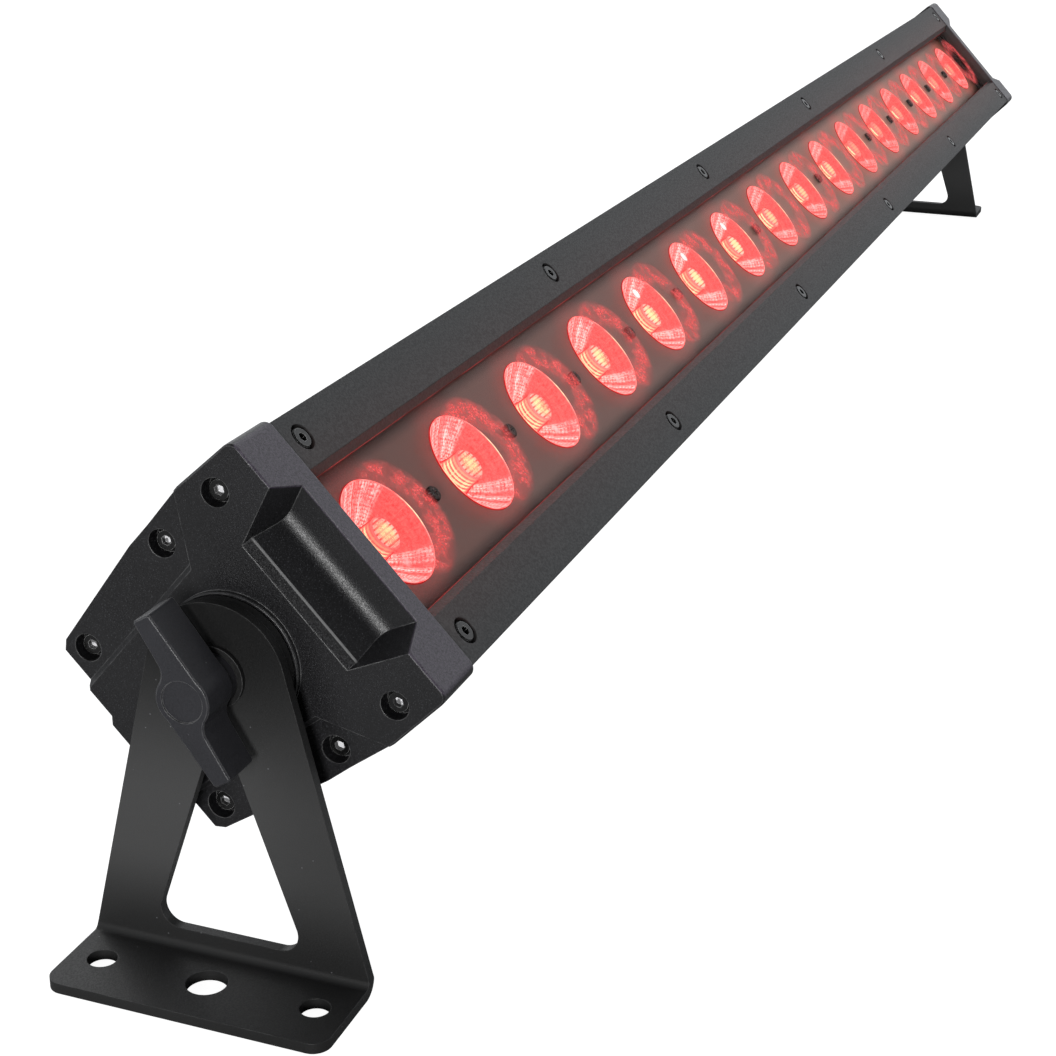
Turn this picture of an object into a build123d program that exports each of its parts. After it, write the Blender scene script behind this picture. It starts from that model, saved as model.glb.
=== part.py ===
from build123d import *
import os

# Outdoor wall washer light: an aluminium LED bar that tilts between two folded steel brackets.
# Millimetres. The bar is drawn in its own frame and then tilted: X along the bar, Z square to the
# window, Y across it, and the pivot axis on X. End pieces are drawn at the near end with the
# cap's outer face at x = 0 and the bar at x > 0, then placed, and mirrored for the far end.

# ---------------------------------------------------------------- driving dimensions
LENS_COUNT = 16
LENS_PITCH = 60.0
END_TO_LENS = 45.0            # cap's outer face to the first lens axis
TILT = 46.4                   # window normal from straight up, towards -Y

CAP_DEPTH = 19.0              # end cap along the bar
CAP_FRONT = 43.4              # pivot axis to the cap's front face
CAP_HALF_WIDTH = 42.0         # at the front face
CAP_BULGE = 0.6               # widest point beyond that
CAP_REAR = 41.5               # pivot axis to the cap's rear corners
CAP_REAR_HALF_WIDTH = 31.0
CAP_KEEL = 45.2               # pivot axis to the middle of the cap's rear edge
CAP_KEEL_STEPS = ((20.5, 18.5), (9.5, 7.5))   # half widths where each step of the keel starts and ends
CAP_FLANK = (1.4, 6.0)        # in from the front's half width, and above the pivot axis
CAP_CHIN = (2.2, -2.6)        # the same, where the outline starts to close in
CAP_REAR_SLOPE = (2.0, 2.5)   # slanting edge at the rear corners: across and up
CAP_EDGE = 0.5                # chamfer around the cap's face
CAP_POCKET = ((29.5, 20.0), (29.5, -2.0), (23.0, -30.0))   # half outline of the hollow in the casting
CAP_GASKET_THICKNESS = 1.0
CAP_PROUD = 1.6               # cap outline beyond the extrusion, on every side
CAP_CORNER_RADIUS = 3.0
CAP_SKIN = 4.0                # outer wall of the casting
PAD_DROP = 1.4                # lowered side pads of the cap face
PAD_TOP = 20.0                # upper edge of a pad, above the pivot axis
PAD_CORNER = (26.0, 9.5)      # its corner beside the boss, across and above the pivot axis
PAD_REAR_HALF_WIDTH = 20.0    # its inner edge at the rear
PAD_STEP_SLOPE = 0.095        # share of its upper edge by which its inner edge is further in at the face

WALL = 2.6                    # extrusion wall
WEB_TOP = 16.4                # upper face of the web that carries the LED boards
WEB_THICKNESS = 4.0
OPTICS_HALF_WIDTH = 25.0      # channel that holds the boards and lenses
FIN_COUNT = 7
FIN_THICKNESS = 2.0
FIN_PITCH = 5.4
FIN_HEIGHT = 3.4
MILLED_LENGTH = 120.0         # length at each end where the fins are milled off for the sockets

BEZEL_THICKNESS = 3.0
BEZEL_BELOW_CAP = 0.4
WINDOW_HALF_WIDTH = 22.4
BEZEL_SLOPE_WIDTH = 2.3
GLASS_THICKNESS = 4.0
GLASS_HALF_WIDTH = 29.0
GASKET_THICKNESS = 1.2
GLASS_SIDE_GAP = 0.6

BEZEL_SCREW_COUNT = 6         # along each bezel strip
BEZEL_SCREW_ACROSS = 32.7
BEZEL_SCREW_END = 27.2        # cap's outer face to the first screw

BOARD_THICKNESS = 1.6
BOARD_HALF_WIDTH = 23.0
BOARD_END_GAP = 0.5
LED_SIZE = 7.0
LED_HEIGHT = 1.2
LED_DOME_RADIUS = 2.6

LENS_RADIUS = 16.9
LENS_HEIGHT = 15.5            # board to the lens's front face
LENS_BASE_RADIUS = 7.0
LENS_RIM_HEIGHT = 1.2
LENS_RIM_OVERHANG = 1.2
LENS_POCKET_RADIUS = 5.4      # hollow in the middle of the front face
LENS_POCKET_DEPTH = 5.0
LED_POCKET_RADIUS = 5.2
LED_POCKET_DEPTH = 5.5

PANEL_THICKNESS = 2.0
PANEL_HALF_WIDTH = 24.6
PANEL_END_GAP = 0.5
PANEL_BELOW_RIM = 0.4         # lens rims stand this much proud of the panel
STANDOFF_RADIUS = 3.0
PANEL_SCREW_HEAD_RADIUS = 2.5
PANEL_SCREW_HEAD_HEIGHT = 1.6
CROSS_SLOT_LENGTH = 2.6
CROSS_SLOT_WIDTH = 0.5
CROSS_SLOT_DEPTH = 0.6

SCREW_RADIUS = 2.0            # M4
HEAD_RADIUS = 3.1
HEAD_HEIGHT = 2.2
SOCKET_ACROSS = 2.5
COUNTERBORE_RADIUS = 3.95
SCREW_LENGTH = 10.0
CAP_COUNTERBORE_DEPTH = 4.4
PORT_RADIUS = 4.4
CAP_SCREWS = ((34.9, 29.7), (34.6, 5.9), (27.4, -35.0))   # across, and from the pivot towards the window

RECESS_HALF_WIDTH = 26.9      # cut in the cap's front corner, at the outer face
RECESS_NARROWING_IN = 4.4     # over the recess depth
RECESS_NARROWING_DOWN = 6.4   # over the recess height
RECESS_DEPTH = 12.0
RECESS_HEIGHT = 17.9
RECESS_LIP = (2.3, 15.6)      # outer edge of the sloping floor: in from the face, down from the front
RECESS_FLOOR_DROP = 10.0      # floor at the back wall, down from the front
RECESS_FILLET = 6.0

BOSS_RADIUS = 19.5            # round boss on the cap, around the pivot
BOSS_HEIGHT = 1.6
BOSS_EDGE = 0.3               # chamfer around it
BOSS_NECK_RADIUS = 16.0
BOSS_NECK_HEIGHT = 0.8
DISC_RADIUS = 18.9
DISC_THICKNESS = 3.9

STUD_RADIUS = 4.0             # M8 clamp stud of the knob
STUD_CHAMFER = 0.8
RUNNING_GAP = 0.08
CLEAR_GAP = 0.3
INSERT_RADIUS = 7.0
INSERT_LENGTH = 12.0
INSERT_BOSS_RADIUS = 12.0
STUD_REACH = 14.0             # stud's end inside the cap's outer face

BRACKET_THICKNESS = 3.0
BRACKET_TOP_RADIUS = 19.8
BRACKET_HEIGHT = 83.5         # pivot axis to the top of the foot
BRACKET_HALF_WIDTH = 41.0
BRACKET_SQUARE_EDGE = 1.4     # straight side edge above the foot, before the leg narrows
FOOT_REACH = 30.7             # foot from the bracket's inner face
FOOT_CORNER_RADIUS = 5.0
BEND_RADIUS = 2.0
FOOT_HOLE_SPACING = 63.2
FOOT_HOLE_RADIUS = 4.1
FOOT_CENTRE_HOLE_RADIUS = 5.6
FOOT_HOLE_OUT = 13.1          # holes from the bracket's outer face
CUTOUT_HALF_WIDTH = 22.8
CUTOUT_ABOVE_FOOT = 5.5
CUTOUT_APEX = 12.4            # sharp apex below the pivot axis
CUTOUT_TOP_RADIUS = 3.5
CUTOUT_CORNER_RADIUS = 5.5

WASHER_RADIUS = 8.6
WASHER_THICKNESS = 1.5
KNOB_NECK_RADIUS = 7.0
KNOB_NECK_LENGTH = 3.4
KNOB_DEPTH = 12.0
KNOB_HUB_RADIUS = 7.5
KNOB_HALF_LENGTH = 23.3
KNOB_WING_OUTER = 4.6         # outer edge of a wing's tip from the knob's centre line
KNOB_WING_INNER = 0.8         # inner edge, on the other side of that line
KNOB_WING_ROOT = 7.3          # outer edge at the hub
KNOB_ROOT_FILLET = 5.0
KNOB_TIP_FILLET = 0.9
KNOB_ANGLE = 30.7             # wings from upright, towards +Y at the top
KNOB_BADGE_RADIUS = 5.7       # round hollow in the face of the hub
KNOB_BADGE_DEPTH = 0.5
KNOB_CHAMFER = 0.4

SUPPLY_LENGTH = 300.0
SUPPLY_WIDTH = 44.0
SUPPLY_HEIGHT = 28.0
SUPPLY_EDGE_RADIUS = 1.5
SUPPLY_EAR = (12.0, 2.0)      # mounting ears: length and thickness
CONTROL_LENGTH = 120.0
CONTROL_WIDTH = 40.0
CONTROL_STANDOFF = 6.0
CONTROL_OFFSET = 240.0        # middle of the control board from the middle of the bar
CONTROL_POST_INSET = 5.0
CHIP_PLACE = (-30.0, 6.0)     # larger components, from the middle of the control board
CHIP_SIZE = (14.0, 14.0, 2.4)
RELAY_PLACE = (10.0, -8.0)
RELAY_SIZE = (20.0, 12.0, 8.0)
CAPACITOR_PLACE = (40.0, 6.0)
CAPACITOR_SIZE = (5.0, 12.0)  # radius and height

SOCKET_RADIUS = 9.0
SOCKET_FLANGE_RADIUS = 11.0
SOCKET_FLANGE_THICKNESS = 2.0
SOCKET_HEIGHT = 9.0
SOCKET_TAIL = 8.0             # stretch of the socket inside the housing
SOCKET_CAP_WALL = 1.6
MOULDED_EDGE = 0.8            # chamfer on socket caps and vent plug
SOCKET_ROW_START = 48.0       # extrusion end to the power socket
SOCKET_ROW_PITCH = 36.0
VENT_RADIUS = 6.0
VENT_HEIGHT = 3.5
HOLE_GAP = 0.1                # fixed screws and sockets in their holes
OVERCUT = 2.0                 # cutting shapes run this far past what they cut

# ---------------------------------------------------------------- what follows from them
BAR_LENGTH = (LENS_COUNT - 1) * LENS_PITCH + 2 * END_TO_LENS
BODY_LENGTH = BAR_LENGTH - 2 * CAP_DEPTH
BEZEL_TOP = CAP_FRONT - BEZEL_BELOW_CAP
GLASS_TOP = BEZEL_TOP - BEZEL_THICKNESS
GLASS_SEAT = GLASS_TOP - GLASS_THICKNESS - GASKET_THICKNESS
WEB_BOTTOM = WEB_TOP - WEB_THICKNESS
BOARD_TOP = WEB_TOP + BOARD_THICKNESS
RIM_LEVEL = BOARD_TOP + LENS_HEIGHT
PANEL_TOP = RIM_LEVEL - PANEL_BELOW_RIM
REAR_LEVEL = CAP_REAR - CAP_PROUD
FLOOR_LEVEL = REAR_LEVEL - WALL
DISC_BACK = -(BOSS_HEIGHT + BOSS_NECK_HEIGHT)
BRACKET_INNER = DISC_BACK - DISC_THICKNESS
BRACKET_OUTER = BRACKET_INNER - BRACKET_THICKNESS
WASHER_OUTER = BRACKET_OUTER - WASHER_THICKNESS
KNOB_BACK = WASHER_OUTER - KNOB_NECK_LENGTH
KNOB_FACE = KNOB_BACK - KNOB_DEPTH
FOOT_BOTTOM = BRACKET_HEIGHT + BRACKET_THICKNESS
LENS_PLACES = [(i - (LENS_COUNT - 1) / 2) * LENS_PITCH for i in range(LENS_COUNT)]


# ---------------------------------------------------------------- drawing helpers
def both_sides(half):
    """A closed outline from the points of its +Y half, front to rear."""
    return list(half) + [(-y, z) for y, z in reversed(half) if y > 0]


def face_of(points):
    """A flat face; its first coordinate becomes Y and its second Z once extruded along the bar."""
    return make_face(Polyline(*points, close=True).edges())


def along_x(sketch, start, end):
    return extrude(Plane.YZ.offset(start) * sketch, end - start)


def rectangle(half_width, low, high):
    return Pos(0, (low + high) / 2) * Rectangle(2 * half_width, high - low)


def rod_x(radius, start, end, y=0, z=0):
    return along_x(Pos(y, z) * Circle(radius), start, end)


def rod_z(radius, bottom, top, x=0, y=0):
    return Pos(x, y, bottom) * extrude(Circle(radius), top - bottom)


def group(solids):
    return Compound(children=list(solids))


def socket_screw(length):
    """A socket-head screw along -Z, with the underside of its head at z = 0."""
    head = rod_z(HEAD_RADIUS, 0, HEAD_HEIGHT)
    head = chamfer(head.edges().group_by(Axis.Z)[-1], HEAD_HEIGHT / 6)
    drive = extrude(RegularPolygon(SOCKET_ACROSS / 2, 6, major_radius=False), HEAD_HEIGHT)
    return head + rod_z(SCREW_RADIUS, -length, 0) - Pos(0, 0, HEAD_HEIGHT / 3) * drive


# ---------------------------------------------------------------- outlines across the bar
def cap_half_outline(inset=0):
    """The +Y half of the cap's outline; with an inset, the extrusion's outline inside it."""
    front = CAP_FRONT if inset == 0 else GLASS_TOP
    shoulder = (CAP_HALF_WIDTH + CAP_BULGE - inset, CAP_FRONT / 2)
    flank = (CAP_HALF_WIDTH - CAP_FLANK[0] - inset, CAP_FLANK[1])
    chin = (CAP_HALF_WIDTH - CAP_CHIN[0] - inset, CAP_CHIN[1])
    rear = (CAP_REAR_HALF_WIDTH + CAP_REAR_SLOPE[0] - inset, -CAP_REAR + inset + CAP_REAR_SLOPE[1])
    corner = (CAP_REAR_HALF_WIDTH - inset, -CAP_REAR + inset)
    return [(CAP_HALF_WIDTH - inset, front), shoulder, flank, chin, rear, corner]


def cap_outline():
    """The end cap seen along the bar, with its stepped keel at the rear."""
    (outer_start, outer_end), (inner_start, inner_end) = CAP_KEEL_STEPS
    middle = -(CAP_KEEL + CAP_REAR) / 2
    keel = [(outer_start, -CAP_REAR), (outer_end, middle), (inner_start, middle), (inner_end, -CAP_KEEL)]
    sketch = face_of(both_sides(cap_half_outline() + keel))
    corners = sketch.vertices().group_by(Axis.Y)[-1]
    return fillet(corners, CAP_CORNER_RADIUS)


def body_outline():
    return face_of(both_sides(cap_half_outline(CAP_PROUD)))


def body_section():
    """The extrusion: glass seat, optics channel, web, side channels and electronics chamber."""
    outline = body_outline()
    inner = offset(outline, -WALL)
    section = outline - rectangle(GLASS_HALF_WIDTH + GLASS_SIDE_GAP, GLASS_SEAT, GLASS_TOP)
    section -= rectangle(OPTICS_HALF_WIDTH, WEB_TOP, GLASS_TOP)
    section -= inner & rectangle(CAP_HALF_WIDTH, -CAP_KEEL, WEB_BOTTOM)
    channel_low, channel_high = WEB_TOP, CAP_SCREWS[0][1] - PORT_RADIUS
    channel = inner & rectangle(CAP_HALF_WIDTH, channel_low, channel_high)
    section -= channel - rectangle(OPTICS_HALF_WIDTH + WALL, channel_low, channel_high)
    for across, level in CAP_SCREWS[1:]:
        for side in (1, -1):
            section += outline & (Pos(side * across, level) * Circle(PORT_RADIUS))
    for across, level in CAP_SCREWS:
        for side in (1, -1):
            section -= Pos(side * across, level) * Circle(SCREW_RADIUS + HOLE_GAP)
    return section


# ---------------------------------------------------------------- the bar's body
def bezel_screw_places():
    first = BEZEL_SCREW_END - BAR_LENGTH / 2
    step = -2 * first / (BEZEL_SCREW_COUNT - 1)
    return [first + i * step for i in range(BEZEL_SCREW_COUNT)]


def socket_places():
    """The rear sockets by name: power and signal at each end of the milled flats."""
    first = BODY_LENGTH / 2 - SOCKET_ROW_START
    second = first - SOCKET_ROW_PITCH
    return {"power_inlet": -first, "signal_inlet": -second, "power_outlet": first, "signal_outlet": second}


def make_housing():
    half = BODY_LENGTH / 2
    body = along_x(body_section(), -half, half)
    fin = Box(BODY_LENGTH - 2 * MILLED_LENGTH, FIN_THICKNESS, FIN_HEIGHT + 2 * HOLE_GAP)
    for i in range(FIN_COUNT):
        y = (i - (FIN_COUNT - 1) / 2) * FIN_PITCH
        body += Pos(0, y, -REAR_LEVEL - FIN_HEIGHT / 2) * fin
    screw_end = GLASS_TOP - SCREW_LENGTH
    for x in bezel_screw_places():
        for side in (1, -1):
            body -= rod_z(SCREW_RADIUS + HOLE_GAP, screw_end, GLASS_TOP, x, side * BEZEL_SCREW_ACROSS)
    for x in socket_places().values():
        body -= rod_z(SOCKET_RADIUS + HOLE_GAP, -REAR_LEVEL, -FLOOR_LEVEL, x)
    body -= rod_z(VENT_RADIUS / 2 + HOLE_GAP, -REAR_LEVEL, -FLOOR_LEVEL, vent_place())
    for x in board_screw_places():
        body -= rod_z(SCREW_RADIUS + HOLE_GAP, WEB_BOTTOM, WEB_TOP, x)
    return body


def make_bezel_strip():
    """The +Y clamping strip, with its sloped inner edge and counterbored screw holes."""
    outer = CAP_HALF_WIDTH - CAP_PROUD
    section = face_of([(WINDOW_HALF_WIDTH, GLASS_TOP), (outer, GLASS_TOP), (outer, BEZEL_TOP),
                       (WINDOW_HALF_WIDTH + BEZEL_SLOPE_WIDTH, BEZEL_TOP),
                       (WINDOW_HALF_WIDTH, GLASS_TOP + BEZEL_THICKNESS / 4)])
    strip = along_x(section, -BODY_LENGTH / 2, BODY_LENGTH / 2)
    for x in bezel_screw_places():
        strip -= rod_z(SCREW_RADIUS + HOLE_GAP, GLASS_TOP, BEZEL_TOP, x, BEZEL_SCREW_ACROSS)
        strip -= rod_z(COUNTERBORE_RADIUS, BEZEL_TOP - HEAD_HEIGHT, BEZEL_TOP, x, BEZEL_SCREW_ACROSS)
    return strip


def make_bezel_screws():
    screw = socket_screw(SCREW_LENGTH - BEZEL_THICKNESS)
    level = BEZEL_TOP - HEAD_HEIGHT
    return group(Pos(x, side * BEZEL_SCREW_ACROSS, level) * screw
                 for x in bezel_screw_places() for side in (1, -1))


def make_glass():
    return along_x(rectangle(GLASS_HALF_WIDTH, GLASS_TOP - GLASS_THICKNESS, GLASS_TOP),
                   -BODY_LENGTH / 2, BODY_LENGTH / 2)


def make_glass_gasket():
    """The seal under the glass: a flat frame as wide as its seat."""
    width = GLASS_HALF_WIDTH - OPTICS_HALF_WIDTH
    level = GLASS_SEAT + GASKET_THICKNESS / 2
    outer = Box(BODY_LENGTH, 2 * GLASS_HALF_WIDTH, GASKET_THICKNESS)
    inner = Box(BODY_LENGTH - 2 * width, 2 * OPTICS_HALF_WIDTH, GASKET_THICKNESS)
    return Pos(0, 0, level) * (outer - inner)


# ---------------------------------------------------------------- light source and optics
def board_length():
    return LENS_COUNT / 2 * LENS_PITCH - 2 * BOARD_END_GAP


def board_screw_places():
    """One board screw beside each end and the middle of both boards."""
    gaps = (1, LENS_COUNT // 4, LENS_COUNT // 2 - 1)
    half = [(gap - LENS_COUNT / 2) * LENS_PITCH + LENS_PITCH / 4 for gap in gaps]
    return half + [-x for x in half]


def make_led_board(side):
    """A board for half the LEDs; side is -1 at the near end and 1 at the far end."""
    length = board_length()
    middle = side * LENS_COUNT / 4 * LENS_PITCH
    board = Pos(middle, 0, WEB_TOP + BOARD_THICKNESS / 2) * Box(length, 2 * BOARD_HALF_WIDTH, BOARD_THICKNESS)
    for x in board_screw_places():
        board -= rod_z(SCREW_RADIUS + HOLE_GAP, WEB_TOP, BOARD_TOP, x)
    return board


def make_board_screws():
    stem = rod_z(SCREW_RADIUS, BOARD_TOP - SCREW_LENGTH / 2, BOARD_TOP)
    screw = stem + rod_z(HEAD_RADIUS, BOARD_TOP, BOARD_TOP + HEAD_HEIGHT / 2)
    return group(Pos(x, 0, 0) * screw for x in board_screw_places())


def make_leds(places):
    package = Pos(0, 0, LED_HEIGHT / 2) * Box(LED_SIZE, LED_SIZE, LED_HEIGHT)
    dome = Pos(0, 0, LED_HEIGHT) * (Sphere(LED_DOME_RADIUS) & rod_z(LED_DOME_RADIUS, 0, LED_DOME_RADIUS))
    led = package + dome
    return group(Pos(x, 0, BOARD_TOP) * led for x in places)


def make_lens(x):
    """A collimating lens: a cone on the board, open over its LED, with a rim and a front pocket."""
    under_rim = LENS_HEIGHT - LENS_RIM_HEIGHT
    half = face_of([(LED_POCKET_RADIUS, 0), (LENS_BASE_RADIUS, 0),
                    (LENS_RADIUS - LENS_RIM_OVERHANG, under_rim),
                    (LENS_RADIUS, under_rim), (LENS_RADIUS, LENS_HEIGHT),
                    (LENS_POCKET_RADIUS, LENS_HEIGHT),
                    (LENS_POCKET_RADIUS, LENS_HEIGHT - LENS_POCKET_DEPTH),
                    (0, LENS_HEIGHT - LENS_POCKET_DEPTH), (0, LED_POCKET_DEPTH),
                    (LED_POCKET_RADIUS, LED_POCKET_DEPTH)])
    lens = revolve(Plane.XZ * half, Axis.Z)
    return Pos(x, 0, BOARD_TOP) * lens


def panel_screw_places():
    """Screws in the gaps between lenses, counted from either end: all but the second from the middle."""
    gaps = [*range(1, LENS_COUNT // 2 - 2), LENS_COUNT // 2 - 1]
    near = [(gap - LENS_COUNT / 2) * LENS_PITCH for gap in gaps]
    return near + [-x for x in near]


def make_lens_panel():
    level = PANEL_TOP - PANEL_THICKNESS / 2
    length = BODY_LENGTH - 2 * PANEL_END_GAP
    panel = Pos(0, 0, level) * Box(length, 2 * PANEL_HALF_WIDTH, PANEL_THICKNESS)
    for x in LENS_PLACES:
        panel -= rod_z(LENS_RADIUS + HOLE_GAP, PANEL_TOP - PANEL_THICKNESS, PANEL_TOP, x)
    for x in panel_screw_places():
        panel -= rod_z(SCREW_RADIUS / 2 + HOLE_GAP, PANEL_TOP - PANEL_THICKNESS, PANEL_TOP, x)
    return panel


def make_panel_standoffs():
    post = rod_z(STANDOFF_RADIUS, BOARD_TOP, PANEL_TOP - PANEL_THICKNESS)
    post -= rod_z(SCREW_RADIUS / 2 + HOLE_GAP, BOARD_TOP + BOARD_THICKNESS, PANEL_TOP - PANEL_THICKNESS)
    return group(Pos(x, 0, 0) * post for x in panel_screw_places())


def make_panel_screws():
    head = rod_z(PANEL_SCREW_HEAD_RADIUS, PANEL_TOP, PANEL_TOP + PANEL_SCREW_HEAD_HEIGHT)
    head = fillet(head.edges().group_by(Axis.Z)[-1], PANEL_SCREW_HEAD_HEIGHT / 2)
    slot = Box(CROSS_SLOT_LENGTH, CROSS_SLOT_WIDTH, 2 * CROSS_SLOT_DEPTH)
    slot += Rot(0, 0, 90) * slot
    slot = Pos(0, 0, PANEL_TOP + PANEL_SCREW_HEAD_HEIGHT) * slot
    stem = rod_z(SCREW_RADIUS / 2, PANEL_TOP - SCREW_LENGTH / 2, PANEL_TOP)
    return group(Pos(x, 0, 0) * (head + stem - slot) for x in panel_screw_places())


# ---------------------------------------------------------------- electronics
def make_power_supply():
    body = Box(SUPPLY_LENGTH, SUPPLY_WIDTH, SUPPLY_HEIGHT)
    body = fillet(body.edges().filter_by(Axis.X), SUPPLY_EDGE_RADIUS)
    ear_length, ear_thickness = SUPPLY_EAR
    ears = Box(SUPPLY_LENGTH + 2 * ear_length, SUPPLY_WIDTH / 2, ear_thickness)
    ears = Pos(0, 0, (ear_thickness - SUPPLY_HEIGHT) / 2) * ears
    return Pos(0, 0, SUPPLY_HEIGHT / 2 - FLOOR_LEVEL) * (body + ears)


def make_control_board():
    """The control board on its four posts, with its larger components."""
    thickness = BOARD_THICKNESS
    board = Pos(0, 0, CONTROL_STANDOFF + thickness / 2) * Box(CONTROL_LENGTH, CONTROL_WIDTH, thickness)
    for x in (1, -1):
        for y in (1, -1):
            board += rod_z(STANDOFF_RADIUS, 0, CONTROL_STANDOFF,
                           x * (CONTROL_LENGTH / 2 - CONTROL_POST_INSET),
                           y * (CONTROL_WIDTH / 2 - CONTROL_POST_INSET))
    top = CONTROL_STANDOFF + thickness
    for place, size in ((CHIP_PLACE, CHIP_SIZE), (RELAY_PLACE, RELAY_SIZE)):
        board += Pos(*place, top + size[2] / 2) * Box(*size)
    radius, height = CAPACITOR_SIZE
    board += rod_z(radius, top, top + height, *CAPACITOR_PLACE)
    return Pos(CONTROL_OFFSET, 0, -FLOOR_LEVEL) * board


def make_rear_socket(x):
    flange = rod_z(SOCKET_FLANGE_RADIUS, -REAR_LEVEL - SOCKET_FLANGE_THICKNESS, -REAR_LEVEL, x)
    barrel = rod_z(SOCKET_RADIUS, -REAR_LEVEL - SOCKET_HEIGHT, -REAR_LEVEL, x)
    tail = rod_z(SOCKET_RADIUS, -REAR_LEVEL, -FLOOR_LEVEL + SOCKET_TAIL, x)
    return flange + barrel + tail


def make_socket_caps():
    """Screw caps that close the four rear sockets."""
    top = -REAR_LEVEL - SOCKET_FLANGE_THICKNESS
    bottom = -REAR_LEVEL - SOCKET_HEIGHT - SOCKET_CAP_WALL
    outside = rod_z(SOCKET_RADIUS + SOCKET_CAP_WALL, bottom, top)
    outside = chamfer(outside.edges().group_by(Axis.Z)[0], MOULDED_EDGE)
    cap = outside - rod_z(SOCKET_RADIUS, -REAR_LEVEL - SOCKET_HEIGHT, top)
    return group(Pos(x, 0, 0) * cap for x in socket_places().values())


def vent_place():
    return BODY_LENGTH / 2 - SOCKET_ROW_START + SOCKET_ROW_PITCH * 0.75


def make_vent_plug():
    head = rod_z(VENT_RADIUS, -REAR_LEVEL - VENT_HEIGHT, -REAR_LEVEL)
    head = chamfer(head.edges().group_by(Axis.Z)[0], MOULDED_EDGE)
    return Pos(vent_place(), 0, 0) * (head + rod_z(VENT_RADIUS / 2, -REAR_LEVEL, -FLOOR_LEVEL))


# ---------------------------------------------------------------- end caps, drawn at the near end
def recess_cutter():
    """The tapered recess in the cap's front corner, with its rounded back and sloping floor."""
    lip_in, lip_down = RECESS_LIP
    outside, above = -OVERCUT, CAP_FRONT + OVERCUT
    foot, back = CAP_FRONT - RECESS_HEIGHT, CAP_FRONT - RECESS_FLOOR_DROP
    section = face_of([(outside, above), (outside, foot), (0, foot), (lip_in, CAP_FRONT - lip_down),
                       (RECESS_DEPTH, back), (RECESS_DEPTH, above)])
    back_corner = section.vertices().sort_by_distance((RECESS_DEPTH, back))[0]
    section = fillet(back_corner, RECESS_FILLET)
    slab = extrude(Plane.XZ * section, RECESS_HALF_WIDTH + OVERCUT, both=True)

    def half_width(x, z):
        down = RECESS_NARROWING_DOWN * (CAP_FRONT - z) / RECESS_HEIGHT
        return RECESS_HALF_WIDTH - RECESS_NARROWING_IN * x / RECESS_DEPTH - down

    low, high = CAP_FRONT - RECESS_HEIGHT - OVERCUT, CAP_FRONT + OVERCUT
    sections = []
    for x in (-OVERCUT, RECESS_DEPTH + OVERCUT):
        wide, narrow = half_width(x, high), half_width(x, low)
        section = face_of([(-narrow, low), (narrow, low), (wide, high), (-wide, high)])
        sections.append(Plane.YZ.offset(x) * section)
    return slab & loft(sections, ruled=True)


def pad_outline(x, side):
    """A pad's outline at a depth from the cap's face, wider nearer the face, where its inner step slopes."""
    beyond, below = CAP_HALF_WIDTH + CAP_BULGE + OVERCUT, -CAP_KEEL - OVERCUT
    corner, level = PAD_CORNER
    shift = PAD_STEP_SLOPE * (PAD_DROP - x) / PAD_DROP
    across, down = shift * (CAP_HALF_WIDTH - corner), shift * (PAD_TOP - level)
    half = [(beyond, PAD_TOP), (CAP_HALF_WIDTH, PAD_TOP), (corner - across, level - down),
            (PAD_REAR_HALF_WIDTH - across, below - down), (beyond, below - down)]
    return Plane.YZ.offset(x) * face_of([(side * y, z) for y, z in half])


def pad_cutters():
    """The two lowered side pads around the middle and rear cap screws."""
    for side in (1, -1):
        yield loft([pad_outline(x, side) for x in (-OVERCUT, PAD_DROP)], ruled=True)


def make_near_cap():
    cap = along_x(cap_outline(), 0, CAP_DEPTH)
    cap = chamfer(cap.faces().sort_by(Axis.X)[0].edges(), CAP_EDGE)
    for pad in pad_cutters():
        cap -= pad
    cap -= recess_cutter()
    pocket = face_of(both_sides(CAP_POCKET))
    pocket -= Circle(INSERT_BOSS_RADIUS)
    cap -= along_x(pocket, CAP_SKIN, CAP_DEPTH)
    cap -= along_x(offset(body_outline(), -WALL), CAP_DEPTH - CAP_GASKET_THICKNESS, CAP_DEPTH)
    boss = rod_x(BOSS_RADIUS, -BOSS_HEIGHT, PAD_DROP)
    cap += chamfer(boss.edges().group_by(Axis.X)[0], BOSS_EDGE)
    cap += rod_x(BOSS_NECK_RADIUS, DISC_BACK, -BOSS_HEIGHT)
    cap -= rod_x(STUD_RADIUS + CLEAR_GAP, DISC_BACK, CAP_DEPTH)
    cap -= rod_x(INSERT_RADIUS, CAP_SKIN, CAP_DEPTH)
    for (across, level), face in zip(CAP_SCREWS, (0, PAD_DROP, PAD_DROP)):
        for side in (1, -1):
            cap -= rod_x(SCREW_RADIUS + HOLE_GAP, 0, CAP_DEPTH, side * across, level)
            cap -= rod_x(COUNTERBORE_RADIUS, 0, face + CAP_COUNTERBORE_DEPTH, side * across, level)
    return cap


def make_cap_gasket():
    """The seal between cap and extrusion, set in the cap's rebate."""
    section = offset(body_outline(), -WALL)
    section -= face_of(both_sides(CAP_POCKET))
    for across, level in CAP_SCREWS:
        for side in (1, -1):
            section -= Pos(side * across, level) * Circle(SCREW_RADIUS + HOLE_GAP)
    return along_x(section, CAP_DEPTH - CAP_GASKET_THICKNESS, CAP_DEPTH)


def make_cap_screws():
    screws = []
    for (across, level), face in zip(CAP_SCREWS, (0, PAD_DROP, PAD_DROP)):
        seat = face + CAP_COUNTERBORE_DEPTH
        screw = socket_screw(CAP_DEPTH - seat + SCREW_LENGTH)
        for side in (1, -1):
            screws.append(Pos(seat, side * across, level) * Rot(0, -90, 0) * screw)
    return group(screws)


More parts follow.
